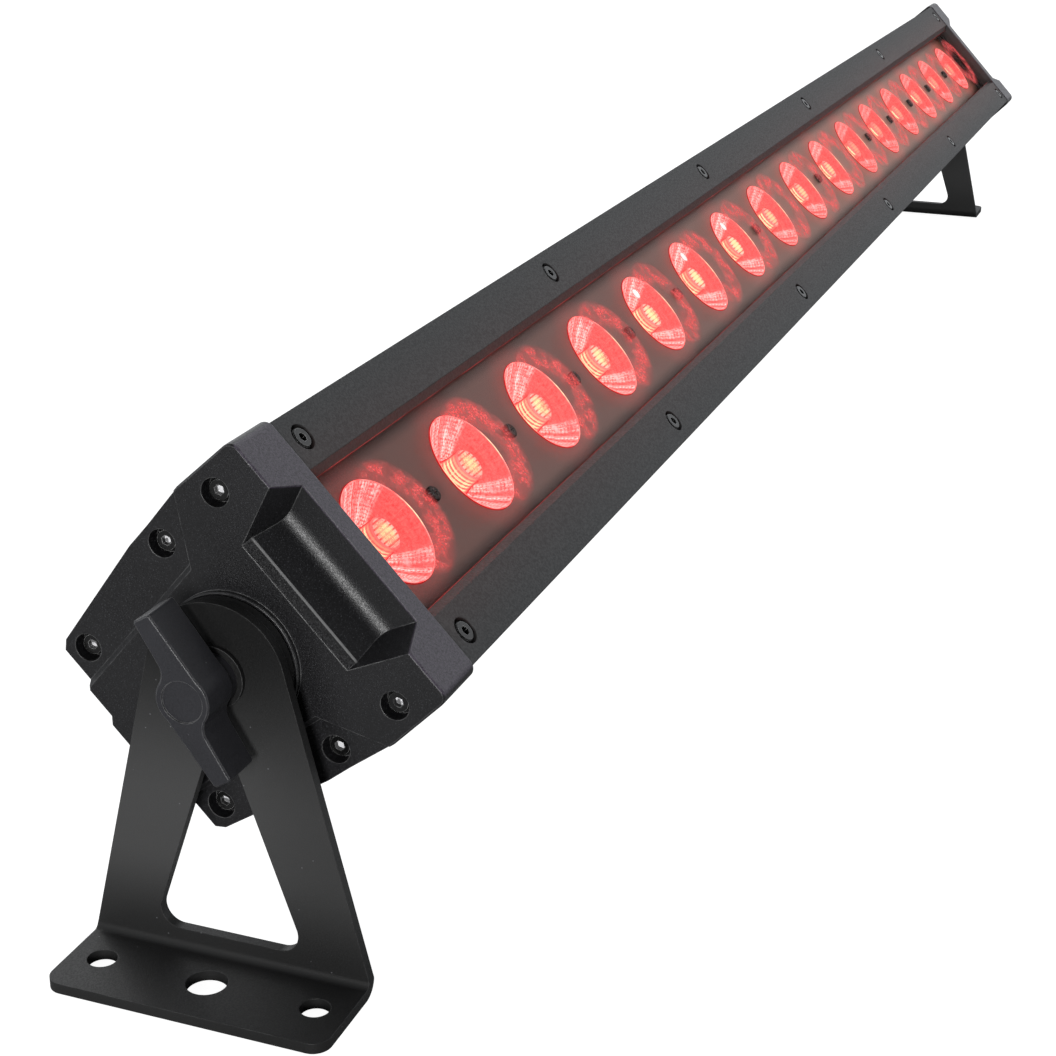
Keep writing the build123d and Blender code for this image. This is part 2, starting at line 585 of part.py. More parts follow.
def make_thread_insert():
    start = CAP_SKIN
    return rod_x(INSERT_RADIUS, start, start + INSERT_LENGTH) - rod_x(
        STUD_RADIUS + RUNNING_GAP, start, start + INSERT_LENGTH)


def make_friction_disc():
    disc = rod_x(DISC_RADIUS, BRACKET_INNER, DISC_BACK)
    return disc - rod_x(STUD_RADIUS + CLEAR_GAP, BRACKET_INNER, DISC_BACK)


# ---------------------------------------------------------------- bracket and clamp knob
def make_near_bracket():
    """A folded plate: a triangular leg with a round head, and a foot turned outwards."""
    head = Circle(BRACKET_TOP_RADIUS)
    base = rectangle(BRACKET_HALF_WIDTH, -FOOT_BOTTOM, BRACKET_SQUARE_EDGE - BRACKET_HEIGHT)
    plate = make_hull(head.edges() + base.edges())
    low = CUTOUT_ABOVE_FOOT - BRACKET_HEIGHT
    gap = face_of([(-CUTOUT_HALF_WIDTH, low), (CUTOUT_HALF_WIDTH, low), (0, -CUTOUT_APEX)])
    gap = fillet(gap.vertices().group_by(Axis.Y)[0], CUTOUT_CORNER_RADIUS)
    gap = fillet(gap.vertices().group_by(Axis.Y)[-1], CUTOUT_TOP_RADIUS)
    leg = along_x(plate - gap, BRACKET_OUTER, BRACKET_INNER)
    foot = Pos(BRACKET_INNER - FOOT_REACH / 2, 0, -FOOT_BOTTOM + BRACKET_THICKNESS / 2) * Box(
        FOOT_REACH, 2 * BRACKET_HALF_WIDTH, BRACKET_THICKNESS)
    foot = fillet(foot.edges().filter_by(Axis.Z).group_by(Axis.X)[0], FOOT_CORNER_RADIUS)
    bracket = leg + foot
    bends = bracket.edges().filter_by(Axis.Y)
    inside = bends.sort_by_distance((BRACKET_OUTER, 0, -BRACKET_HEIGHT))[0]
    bracket = fillet(inside, BEND_RADIUS)
    outside = bracket.edges().filter_by(Axis.Y).sort_by_distance((BRACKET_INNER, 0, -FOOT_BOTTOM))[0]
    bracket = fillet(outside, BEND_RADIUS + BRACKET_THICKNESS)
    hole_x = BRACKET_OUTER - FOOT_HOLE_OUT
    for y, radius in ((FOOT_HOLE_SPACING / 2, FOOT_HOLE_RADIUS), (0, FOOT_CENTRE_HOLE_RADIUS),
                      (-FOOT_HOLE_SPACING / 2, FOOT_HOLE_RADIUS)):
        bracket -= rod_z(radius, -FOOT_BOTTOM, -BRACKET_HEIGHT, hole_x, y)
    return bracket - rod_x(STUD_RADIUS + RUNNING_GAP, BRACKET_OUTER, BRACKET_INNER)


def make_near_washer():
    ring = rod_x(WASHER_RADIUS, WASHER_OUTER, BRACKET_OUTER)
    return ring - rod_x(STUD_RADIUS + RUNNING_GAP, WASHER_OUTER, BRACKET_OUTER)


def knob_outline():
    """The two-winged knob seen from outside: a round hub with wings on opposite sides of its centre."""
    wing = face_of([(KNOB_WING_INNER, 0), (KNOB_WING_INNER, KNOB_HALF_LENGTH),
                    (-KNOB_WING_OUTER, KNOB_HALF_LENGTH), (-KNOB_WING_ROOT, 0)])
    outline = Circle(KNOB_HUB_RADIUS) + wing + Rot(0, 0, 180) * wing
    inner_corners = outline.vertices().filter_by(lambda v: abs(abs(v.X) - KNOB_WING_INNER) < HOLE_GAP)
    roots = [v for v in inner_corners if abs(v.Y) < KNOB_HALF_LENGTH / 2]
    outline = fillet(roots, KNOB_ROOT_FILLET)
    tips = [v for v in outline.vertices() if abs(v.Y) > KNOB_HALF_LENGTH - KNOB_TIP_FILLET]
    return fillet(tips, KNOB_TIP_FILLET)


def make_near_knob():
    wings = along_x(Rot(0, 0, -KNOB_ANGLE) * knob_outline(), KNOB_FACE, KNOB_BACK)
    face_edges = wings.faces().sort_by(Axis.X)[0].edges()
    wings = chamfer(face_edges, KNOB_CHAMFER)
    knob = wings + rod_x(KNOB_NECK_RADIUS, KNOB_BACK, WASHER_OUTER)
    knob -= rod_x(KNOB_BADGE_RADIUS, KNOB_FACE, KNOB_FACE + KNOB_BADGE_DEPTH)
    return knob - rod_x(STUD_RADIUS, KNOB_BACK - KNOB_DEPTH / 2, WASHER_OUTER)


def make_near_stud():
    stud = rod_x(STUD_RADIUS, KNOB_BACK - KNOB_DEPTH / 2, STUD_REACH)
    return chamfer(stud.edges().sort_by(Axis.X)[-1], STUD_CHAMFER)


# ---------------------------------------------------------------- assembly
def near_end(shape):
    return Pos(-BAR_LENGTH / 2, 0, 0) * shape


def far_end(shape):
    return mirror(near_end(shape), Plane.YZ)


def tilted(shape):
    return Rot(TILT, 0, 0) * shape


def build_bar():
    """Every piece of the tilting bar by name, in the bar's own frame."""
    strip = make_bezel_strip()
    bar = {
        "housing": make_housing(),
        "bezel_strip_upper": strip,
        "bezel_strip_lower": mirror(strip, Plane.XZ),
        "bezel_screws": make_bezel_screws(),
        "front_glass": make_glass(),
        "glass_gasket": make_glass_gasket(),
        "led_board_near": make_led_board(-1),
        "led_board_far": make_led_board(1),
        "board_screws": make_board_screws(),
        "leds_near": make_leds(LENS_PLACES[:LENS_COUNT // 2]),
        "leds_far": make_leds(LENS_PLACES[LENS_COUNT // 2:]),
        "lens_panel": make_lens_panel(),
        "panel_standoffs": make_panel_standoffs(),
        "panel_screws": make_panel_screws(),
        "power_supply": make_power_supply(),
        "control_board": make_control_board(),
        "socket_caps": make_socket_caps(),
        "vent_plug": make_vent_plug(),
    }
    for number, x in enumerate(LENS_PLACES, start=1):
        bar[f"lens_{number:02d}"] = make_lens(x)
    for name, x in socket_places().items():
        bar[name] = make_rear_socket(x)
    ends = {
        "cap": make_near_cap(),
        "cap_gasket": make_cap_gasket(),
        "cap_screws": make_cap_screws(),
        "thread_insert": make_thread_insert(),
        "friction_disc": make_friction_disc(),
    }
    for name, piece in ends.items():
        bar[f"near_{name}"] = near_end(piece)
        bar[f"far_{name}"] = far_end(piece)
    return bar


def build_mountings():
    """The brackets, washers and knobs by name, which stay upright while the bar tilts."""
    mountings = {}
    pieces = {
        "bracket": make_near_bracket(),
        "washer": make_near_washer(),
        "knob": make_near_knob(),
        "knob_stud": make_near_stud(),
    }
    for name, piece in pieces.items():
        mountings[f"near_{name}"] = near_end(piece)
        mountings[f"far_{name}"] = far_end(piece)
    return mountings


def build_light():
    """All pieces in the row's frame: feet on z = 0, and the light's box centred over the origin."""
    pieces = {name: tilted(shape) for name, shape in build_bar().items()}
    pieces.update(build_mountings())
    across = [(shape.bounding_box().min.Y, shape.bounding_box().max.Y) for shape in pieces.values()]
    middle = (min(low for low, _ in across) + max(high for _, high in across)) / 2
    placed = Pos(0, -middle, FOOT_BOTTOM)
    print(f"pivot axis at y {-middle:.4f}, z {FOOT_BOTTOM:.4f}")
    return {name: placed * shape for name, shape in pieces.items()}


os.makedirs("parts", exist_ok=True)
for piece_name, piece_shape in build_light().items():
    export_step(piece_shape, f"parts/{piece_name}.step")
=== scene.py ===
import math

import bmesh
import bpy
from mathutils import Matrix, Vector


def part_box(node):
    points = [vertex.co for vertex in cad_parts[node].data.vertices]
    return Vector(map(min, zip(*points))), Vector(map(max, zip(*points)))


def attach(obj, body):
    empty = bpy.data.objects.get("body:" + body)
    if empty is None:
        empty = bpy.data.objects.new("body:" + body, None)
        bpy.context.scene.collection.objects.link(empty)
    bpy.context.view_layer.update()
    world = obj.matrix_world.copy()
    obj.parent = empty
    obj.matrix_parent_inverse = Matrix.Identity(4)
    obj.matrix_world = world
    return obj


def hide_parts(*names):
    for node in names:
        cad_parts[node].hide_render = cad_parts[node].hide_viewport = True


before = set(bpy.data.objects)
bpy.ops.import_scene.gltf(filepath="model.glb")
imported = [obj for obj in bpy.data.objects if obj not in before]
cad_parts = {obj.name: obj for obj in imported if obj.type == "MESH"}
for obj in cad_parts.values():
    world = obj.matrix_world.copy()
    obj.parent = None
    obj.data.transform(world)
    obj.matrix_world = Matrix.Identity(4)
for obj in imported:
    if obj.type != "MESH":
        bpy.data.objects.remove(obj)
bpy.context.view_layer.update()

# The bar's own frame: X along it, Y across it, Z square to its window, origin on the pivot axis.
TILT = math.radians(46.4)
PIVOT = Vector((0.0, 0.0038884, 0.0865))
LENS_COUNT = 16
LENS_PITCH = 0.060
LENS_RADIUS = 0.0169
RIM_LEVEL = 0.0335
GLASS_TOP = 0.0400
BEZEL_TOP = 0.0430
WINDOW_HALF_WIDTH = 0.0224
BEZEL_SLOPE_EDGE = 0.0247        # half width between the outer edges of the strips' slopes
CAP_FRONT = 0.0434
SILL_LEVEL = CAP_FRONT - 0.0156
SILL_PLACE = 0.4927
FRONT_SOCKET_FLOOR = 0.49133     # along the bar, for the screws on the cap's face
PAD_SOCKET_FLOOR = 0.48993       # and for those on its lowered pads
SCREW_ROW_SPLIT = 0.018          # height between these two sorts of screw

# The lenses' patterns hold all of the photograph's detail near its camera, and less farther away.
LENS_GROUPS = (("near", 1.0), ("middle", 0.6), ("far", 0.25))
LAST_NEAR_LENS = 7
LAST_MIDDLE_LENS = 10
# Lenses whose fronts carry the larger painted glints.
GLINTING_LENSES = (5, 6, 7)
LENS_SPIN = 0.12                 # radians between the streaks of neighbouring lens fronts
BEAD_ROWS = 84
BEAD_PITCH = 0.00075
HOOP_PITCH = 0.00125
DIE_BAR_PITCH = 0.00150
LATHE_STEPS = 72

# Material bands of a lens cup, and its outline and its front's: radius, height, band that follows.
WALL, RIM, CORE, DIE = range(4)
CUP_PROFILE = (
    (0.0070, -0.0155, WALL), (0.0157, -0.0012, WALL), (0.0169, -0.0012, WALL), (0.0169, -0.0003, WALL),
    (0.0167, -0.0001, RIM), (0.0165, 0.0, RIM), (0.0163, -0.0002, WALL), (0.0128, -0.0045, WALL),
    (0.0078, -0.0090, WALL), (0.0064, -0.0094, CORE), (0.0056, -0.0060, CORE), (0.0053, -0.0016, DIE),
    (0.0050, -0.0012, DIE), (0.0025, -0.0010, DIE), (0.0, -0.0009, DIE))
FRONT_PROFILE = ((0.0164, -0.0003, 0), (0.0120, -0.0002, 0), (0.0060, -0.0001, 0), (0.0, -0.0001, 0))

DUST_COLOUR = (0.16, 0.16, 0.17, 1.0)
# Colour of the painted glints in coats.
SPARKLE_COLOUR = (0.40, 0.42, 0.46, 1.0)

FLOOR_REACH = 12.0
FLOOR_LEVEL = -0.0003

CAMERA_LENS = 68.61
CAMERA_PLACE = Vector((-0.90926, -0.23182, 0.30679))
CAMERA_RIGHT = Vector((0.352053, -0.935961, 0.005962))
CAMERA_DOWN = Vector((-0.337496, -0.132882, -0.931901))
CAMERA_FORWARD = Vector((0.873015, 0.326067, -0.362665))

# ---------------------------------------------------------------- shader building


class Graph:
    """One material's node tree, with short calls for the nodes used here."""

    def __init__(self, name):
        self.material = bpy.data.materials.new(name)
        self.material.use_nodes = True
        self.tree = self.material.node_tree
        self.tree.nodes.clear()
        self.output = self.tree.nodes.new("ShaderNodeOutputMaterial")

    def feed(self, socket, value):
        if isinstance(value, bpy.types.NodeSocket):
            self.tree.links.new(value, socket)
        else:
            socket.default_value = value

    def node(self, kind, inputs=None, **settings):
        made = self.tree.nodes.new("ShaderNode" + kind)
        for key, value in settings.items():
            setattr(made, key, value)
        for key, value in (inputs or {}).items():
            self.feed(made.inputs[key], value)
        return made

    def place(self):
        return self.node("TexCoord").outputs["Object"]

    def math(self, operation, a, b=0.0, c=0.0):
        made = self.node("Math", operation=operation)
        for socket, value in zip(made.inputs, (a, b, c)):
            self.feed(socket, value)
        return made.outputs[0]

    def fade(self, value, low, high, start=0.0, end=1.0):
        """value from low to high, as start to end, smoothly."""
        made = self.node("MapRange", interpolation_type="SMOOTHSTEP")
        for socket, number in zip(made.inputs, (value, low, high, start, end)):
            self.feed(socket, number)
        return made.outputs[0]

    def noise(self, vector, scale, detail=2.0, roughness=0.5):
        inputs = {"Vector": vector, "Scale": scale, "Detail": detail, "Roughness": roughness}
        return self.node("TexNoise", inputs).outputs["Fac"]

    def blend(self, factor, a, b):
        """a to b by factor. Inputs 6 and 7 and output 2 are the node's colour sockets."""
        made = self.node("Mix", data_type="RGBA")
        self.feed(made.inputs[0], factor)
        self.feed(made.inputs[6], a)
        self.feed(made.inputs[7], b)
        return made.outputs[2]

    def split(self, vector):
        return self.node("SeparateXYZ", {"Vector": vector}).outputs

    def join(self, x=0.0, y=0.0, z=0.0):
        return self.node("CombineXYZ", {"X": x, "Y": y, "Z": z}).outputs[0]

    def length(self, vector):
        return self.node("VectorMath", {0: vector}, operation="LENGTH").outputs["Value"]

    def bump(self, height, strength, distance, normal=None):
        inputs = {"Height": height, "Strength": strength, "Distance": distance}
        if normal is not None:
            inputs["Normal"] = normal
        return self.node("Bump", inputs).outputs[0]

    def rounded(self, radius):
        return self.node("Bevel", {"Radius": radius}, samples=6).outputs[0]

    def edges(self, rounded):
        """1 on sharp edges, 0 on flat faces, from a rounded normal."""
        flat = self.node("NewGeometry").outputs["Normal"]
        dot = self.node("VectorMath", {0: rounded, 1: flat}, operation="DOT_PRODUCT").outputs["Value"]
        return self.fade(dot, 0.985, 0.92)

    def specks(self, place, scale=240.0):
        """Sparse round specks, at 240 a few tenths of a millimetre across."""
        cells = self.node("TexVoronoi", {"Vector": place, "Scale": scale})
        chosen = self.fade(self.split(cells.outputs["Color"])[0], 0.62, 0.66, 0.0, 0.8)
        return self.math("MULTIPLY", chosen, self.fade(cells.outputs["Distance"], 0.060, 0.030))

    def bar_place(self):
        """Coordinates in the bar's own frame, for the CAD nodes that tilt with it."""
        turn = Matrix.Rotation(-TILT, 3, "X")
        shift = -(turn @ PIVOT)
        inputs = {"Vector": self.place(), "Rotation": (-TILT, 0.0, 0.0), "Location": shift}
        return self.node("Mapping", inputs, vector_type="POINT").outputs[0]

    def principled(self, **inputs):
        names = {key.replace("_", " "): value for key, value in inputs.items()}
        return self.node("BsdfPrincipled", names).outputs[0]

    def finish(self, surface):
        self.tree.links.new(surface, self.output.inputs["Surface"])
        return self.material


def grey(value, tint=(1.0, 1.0, 1.0)):
    return (value * tint[0], value * tint[1], value * tint[2], 1.0)


# ---------------------------------------------------------------- coatings
def coated(name, dark, light, rough, grain, bump, edge=None, edge_radius=0.0004, sparkle=0.0, shade=None,
           specular=0.5):
    """Paint over metal: a fine grain in height, tone and gloss, specks of dust, optional painted glints, and
    edges lightened in patches by wear and as painted highlights.
    """
    g = Graph(name)
    place = g.place()
    fine = g.noise(place, grain, 3.0, 0.6)
    broad = g.noise(place, 28.0, 2.0)
    tone = g.math("MULTIPLY_ADD", fine, 0.6, g.math("MULTIPLY", broad, 0.4))
    colour = g.blend(g.fade(tone, 0.35, 0.65), dark, light)
    if shade is not None:
        colour = shade(g, colour)
    if sparkle:
        # Painted glints: pale specks in the coat, standing in for sparkles of light.
        glints = g.fade(g.noise(place, grain * 1.4, 0.0), 0.66, 0.80)
        colour = g.blend(g.math("MULTIPLY", glints, sparkle), colour, SPARKLE_COLOUR)
    colour = g.blend(g.specks(place), colour, DUST_COLOUR)
    normal = g.rounded(edge_radius)
    if edge is not None:
        # Edges lighter in patches: partly wear, partly painted edge highlights.
        worn_and_highlit_edges = g.math("MULTIPLY", g.edges(normal), g.fade(g.noise(place, 260.0, 2.0), 0.35, 0.62, 0.2, 1.0))
        colour = g.blend(worn_and_highlit_edges, colour, edge)
    gloss = g.fade(g.noise(place, grain * 0.7, 1.0), 0.35, 0.65, rough - 0.06, rough + 0.08)
    return g.finish(g.principled(Base_Color=colour, Roughness=gloss, Specular_IOR_Level=specular,
                                 Normal=g.bump(fine, bump, 0.0002, normal)))


def cap_shade(g, colour):
    """Painted light on the cap: its front face lighter and purple, as if lit beside a red window, and a
    painted highlight line along the sill of its recess.
    """
    x, y, z = g.split(g.bar_place())
    above = g.math("SUBTRACT", z, SILL_LEVEL)
    inside = g.math("SUBTRACT", g.math("ABSOLUTE", x), SILL_PLACE)
    # A thin pale line along the recess sill: a painted highlight.
    sill = g.fade(g.length(g.join(inside, 0.0, above)), 0.00045, 0.00020)
    sill = g.math("MULTIPLY", sill, g.fade(g.math("ABSOLUTE", y), 0.0212, 0.0195))
    colour = g.blend(sill, colour, grey(0.20))
    # The front face: painted light, lighter and purple-tinted.
    grain = g.fade(g.noise(g.place(), 1800.0, 2.0, 0.7), 0.35, 0.65)
    front = g.blend(grain, (0.036, 0.029, 0.042, 1.0), (0.082, 0.069, 0.094, 1.0))
    return g.blend(g.fade(z, CAP_FRONT - 0.0007, CAP_FRONT - 0.0003), colour, front)


def leg_shade(g, colour):
    """The bracket's coat with painted light: lighter halfway up its legs, most on the leg towards +Y, as a
    painted reflection of the floor.
    """
    _, y, z = g.split(g.place())
    # Painted reflection of the floor: a lighter band halfway up the legs, weaker at the foot.
    middle = g.math("MULTIPLY", g.fade(z, 0.100, 0.045), g.fade(z, 0.006, 0.034, 0.25, 1.0))
    middle = g.math("MULTIPLY", middle, g.fade(y, -0.030, 0.010, 0.66, 1.0))
    return g.blend(middle, colour, grey(0.064))


def socket_glint_paint(g, colour):
    """Painted glints: bright patches on the floors of the cap screws' hexagon sockets."""
    x, _, z = g.split(g.bar_place())
    low, high = SCREW_ROW_SPLIT - 0.0002, SCREW_ROW_SPLIT + 0.0002
    level = g.fade(z, low, high, PAD_SOCKET_FLOOR, FRONT_SOCKET_FLOOR)
    above = g.math("ABSOLUTE", g.math("SUBTRACT", g.math("ABSOLUTE", x), level))
    facing = g.math("ABSOLUTE", g.split(g.node("NewGeometry").outputs["Normal"])[0])
    floor = g.math("MULTIPLY", g.fade(above, 0.0003, 0.0002), g.fade(facing, 0.8, 0.9))
    # Painted highlight in noisy patches on the socket floors.
    painted_glint = g.math("MULTIPLY", floor, g.fade(g.noise(g.place(), 520.0, 2.0), 0.42, 0.52, 0.2, 1.0))
    return g.blend(painted_glint, colour, (0.95, 0.95, 0.97, 1.0))


def make_powder_coat():
    """The bezel strips and housing: grey-black, with a painted brown-red glow towards the lit window and the
    far end.
    """
    g = Graph("powder_coat")
    x, y, z = g.split(g.bar_place())
    place = g.place()
    fine = g.noise(place, 2600.0, 3.0, 0.6)
    broad = g.noise(place, 16.0, 2.0)
    cool = (0.97, 1.0, 1.02)
    grain = g.blend(g.fade(fine, 0.35, 0.65), grey(0.014, cool), grey(0.026, cool))
    # Painted glow: brown-red towards the window, stronger towards the far end.
    across = g.math("ABSOLUTE", y)
    warm = g.fade(across, 0.040, WINDOW_HALF_WIDTH, 0.0, 0.55)
    warm = g.math("MULTIPLY", warm, g.fade(z, GLASS_TOP - 0.006, GLASS_TOP))
    warm = g.math("MULTIPLY", warm, g.fade(broad, 0.2, 0.8, 0.6, 1.0))
    warm = g.math("MULTIPLY", warm, g.fade(x, -0.10, 0.45, 1.0, 1.7))
    near_brown, far_brown = (0.048, 0.017, 0.014, 1.0), (0.135, 0.060, 0.050, 1.0)
    brown = g.blend(g.fade(x, -0.20, 0.45), near_brown, far_brown)
    colour = g.blend(warm, grain, brown)
    # A brown band along the strips' inner slopes: painted glow.
    below_top = g.fade(z, BEZEL_TOP - 0.0001, BEZEL_TOP - 0.0003)
    above_glass = g.fade(z, GLASS_TOP - 0.0006, GLASS_TOP - 0.0001)
    slope = g.math("MULTIPLY", below_top, above_glass)
    beside_window = g.fade(across, BEZEL_SLOPE_EDGE + 0.0005, BEZEL_SLOPE_EDGE + 0.0002)
    slope = g.math("MULTIPLY", slope, beside_window)
    colour = g.blend(slope, colour, (0.075, 0.042, 0.038, 1.0))
    normal = g.rounded(0.0005)
    gloss = g.fade(g.noise(place, 1500.0, 1.0), 0.35, 0.65, 0.46, 0.60)
    return g.finish(g.principled(
        Base_Color=colour, Roughness=gloss, Normal=g.bump(fine, 0.25, 0.0002, normal)))


def lens_reach(g, x, y):
    """Distance from the nearest lens axis, across the window."""
    cell = g.math("FRACT", g.math("DIVIDE", x, LENS_PITCH))
    along = g.math("MULTIPLY", g.math("SUBTRACT", cell, 0.5), LENS_PITCH)
    return g.length(g.join(along, y))


def make_panel_paint():
    """The plate between the lenses: grey-brown, with painted light making it lighter towards the far end.

    It has a painted red glow around each lens and a painted shadow along both edges.
    """
    g = Graph("panel_paint")
    x, y, _ = g.split(g.bar_place())
    reach = lens_reach(g, x, y)
    place = g.place()
    fine = g.noise(place, 2200.0, 3.0, 0.6)
    colour = g.blend(g.fade(fine, 0.3, 0.7), (0.255, 0.130, 0.106, 1.0), (0.290, 0.150, 0.124, 1.0))
    # Painted light: lighter towards the far end.
    colour = g.blend(g.fade(x, -0.36, 0.32), colour, (0.760, 0.440, 0.325, 1.0))
    # Painted shadow along both edges, under the bezel.
    edge = g.fade(g.math("ABSOLUTE", y), 0.0175, 0.0226, 0.0, 0.75)
    colour = g.blend(edge, colour, (0.010, 0.006, 0.005, 1.0))
    # Painted red glow around each lens, as emission.
    glow = g.fade(reach, LENS_RADIUS + 0.009, LENS_RADIUS)
    specks = g.fade(g.noise(place, 1500.0, 2.0, 0.7), 0.40, 0.62)
    lit = g.math("MULTIPLY", glow, g.math("MULTIPLY_ADD", specks, 0.25, 0.12))
    shader = g.principled(
        Base_Color=colour, Roughness=0.38, Normal=g.bump(fine, 0.02, 0.0002),
        Emission_Color=(1.0, 0.10, 0.09, 1.0), Emission_Strength=g.math("MULTIPLY", lit, 0.3))
    return g.finish(shader)


def make_window_glass():
    """Clear glass, with a painted red glow on its outer face: a fine speckle over each lens, as in its beam,
    and a thin line along both edges of the window.
    """
    g = Graph("window_glass")
    x, y, z = g.split(g.bar_place())
    reach = lens_reach(g, x, y)
    place = g.place()
    top = g.math("GREATER_THAN", z, GLASS_TOP - 0.0001)
    # Painted glow: red speckle over each lens.
    beam = g.fade(reach, LENS_RADIUS + 0.0026, LENS_RADIUS - 0.0016)
    ring = g.fade(reach, 0.005, LENS_RADIUS - 0.004, 0.0, 0.85)
    cells = g.node("TexVoronoi", {"Vector": place, "Scale": 2400.0}).outputs["Color"]
    grain = g.split(cells)[0]
    patch = g.fade(g.noise(place, 210.0, 3.0), 0.36, 0.62, 0.26, 0.90)
    # The pattern of the painted glow's speckle.
    dust = g.math("MULTIPLY", patch, g.fade(grain, 0.10, 1.0, 0.60, 1.0))
    speckle = g.math("MULTIPLY", g.math("MULTIPLY", beam, dust), ring)
    # Painted glow: a thin red line along both window edges.
    line = g.fade(g.math("ABSOLUTE", y), WINDOW_HALF_WIDTH - 0.00030, WINDOW_HALF_WIDTH - 0.00015)
    line = g.math("MULTIPLY", line, g.fade(g.noise(place, 60.0, 2.0), 0.3, 0.7, 0.06, 0.28))
    shine = g.math("MULTIPLY", g.math("MAXIMUM", speckle, line), top)
    clear = g.node("BsdfTransparent", {"Color": (0.95, 0.92, 0.91, 1.0)}).outputs[0]
    gloss = g.node("BsdfGlossy", {"Color": (1.0, 0.78, 0.70, 1.0), "Roughness": 0.04}).outputs[0]
    mirror = g.node("LayerWeight", {"Blend": 0.12}).outputs["Fresnel"]
    surface = g.node("MixShader", {0: g.math("MULTIPLY", mirror, 0.03), 1: clear, 2: gloss}).outputs[0]
    lit = g.blend(g.fade(grain, 0.80, 0.95), (0.86, 0.085, 0.085, 1.0), (1.0, 0.16, 0.15, 1.0))
    return g.finish(g.node("MixShader", {0: shine, 1: surface, 2: lit_from_within(g, lit, 0.8)}).outputs[0])


# ---------------------------------------------------------------- the lit lenses
def polar(g):
    """Distance from the lens axis, the unit vector away from it, and height, in a lens's own frame."""
    x, y, z = g.split(g.place())
    flat = g.join(x, y)
    away = g.node("VectorMath", {0: flat}, operation="NORMALIZE").outputs["Vector"]
    return g.length(flat), away, z


def lit_from_within(g, colour, strength):
    """A glowing surface whose base colour has the same pattern."""
    return g.principled(Base_Color=colour, Roughness=0.6, Specular_IOR_Level=0.1,
                        Emission_Color=colour, Emission_Strength=strength)


def stripes(g, along, period):
    """Soft stripes across a length, 0 to 1."""
    wave = g.math("SINE", g.math("MULTIPLY", along, 2 * math.pi / period))
    return g.math("MULTIPLY_ADD", wave, 0.5, 0.5)


def make_lens_wall(group, detail):
    """The inside of a collimator: saturated red, with fans of pale beads towards both bezels."""
    g = Graph("lens_wall_" + group)
    reach, away, z = polar(g)
    ax, ay, _ = g.split(away)
    rows = stripes(g, g.math("ARCTAN2", ay, ax), 2 * math.pi / BEAD_ROWS)
    beads = stripes(g, reach, BEAD_PITCH)
    grit = g.noise(g.place(), 1100.0, 2.0, 0.8)
    dots = g.math("MULTIPLY_ADD", rows, 0.16, g.math("MULTIPLY_ADD", beads, 0.14, grit))
    spokes = g.fade(g.noise(away, 5.0, 3.0, 0.7), 0.40, 0.58, 0.10, 1.0)
    fan = g.math("MULTIPLY", g.fade(g.math("ABSOLUTE", ay), 0.58, 0.76, 0.0, 0.35 + 0.65 * detail), spokes)
    pale = g.math("MULTIPLY", fan, g.fade(dots, 0.46, 0.78, 0.06, 1.0))
    hairs = g.fade(g.noise(away, 60.0, 2.0, 0.6), 0.50, 0.75, 0.0, 0.35)
    hoops = g.fade(g.noise(g.join(reach, z), 1900.0, 1.0), 0.45, 0.75, 0.0, 0.25)
    plain = g.blend(g.fade(grit, 0.30, 0.70), (0.82, 0.060, 0.064, 1.0), (1.0, 0.135, 0.130, 1.0))
    plain = g.blend(g.math("MAXIMUM", hairs, hoops), plain, (1.0, 0.24, 0.22, 1.0))
    plain = g.blend(g.specks(g.place(), 620.0), plain, (1.0, 0.52, 0.50, 1.0))
    colour = g.blend(pale, plain, (1.0, 0.78, 0.76, 1.0))
    colour = g.blend(g.fade(reach, 0.0163, 0.0167), colour, (0.40, 0.012, 0.014, 1.0))
    return g.finish(lit_from_within(g, colour, 1.0))


def make_lens_rim():
    """The rounded rim, a thin line around the lens, brightest nearest the bar's ends."""
    g = Graph("lens_rim")
    _, away, _ = polar(g)
    hot = g.fade(g.math("ABSOLUTE", g.split(away)[0]), 0.92, 0.998)
    hot = g.math("MULTIPLY", hot, g.fade(g.noise(away, 7.0, 2.0), 0.35, 0.60, 0.3, 1.0))
    bright = g.fade(g.noise(away, 3.0, 2.0), 0.30, 0.62)
    colour = g.blend(bright, (1.0, 0.12, 0.12, 1.0), (1.0, 0.36, 0.34, 1.0))
    colour = g.blend(hot, colour, (1.0, 0.85, 0.55, 1.0))
    return g.finish(lit_from_within(g, colour, 1.0))


def make_lens_core(group, detail):
    """The tube around the lamp, which shows it as bright hoops low on both sides."""
    g = Graph("lens_core_" + group)
    _, away, z = polar(g)
    ax, ay, _ = g.split(away)
    hoops = stripes(g, g.math("MULTIPLY_ADD", ay, 0.0004, z), HOOP_PITCH)
    streaks = g.noise(away, 7.0, 2.0, 0.6)
    hot = g.fade(g.math("MULTIPLY_ADD", hoops, 0.6, streaks), 0.55, 0.95)
    side = g.math("ABSOLUTE", ax)
    hot = g.math("MULTIPLY", hot, g.fade(side, 0.92 - 0.62 * detail, 0.99 - 0.37 * detail))
    hot = g.math("MULTIPLY", hot, g.fade(z, -0.0024 * detail, -0.0040 * detail, 0.25, 1.0))
    plain = g.blend(g.fade(side, 0.15, 0.40), (0.50, 0.020, 0.028, 1.0), (1.0, 0.16, 0.14, 1.0))
    return g.finish(lit_from_within(g, g.blend(hot, plain, (1.0, 0.88, 0.50, 1.0)), 1.0))


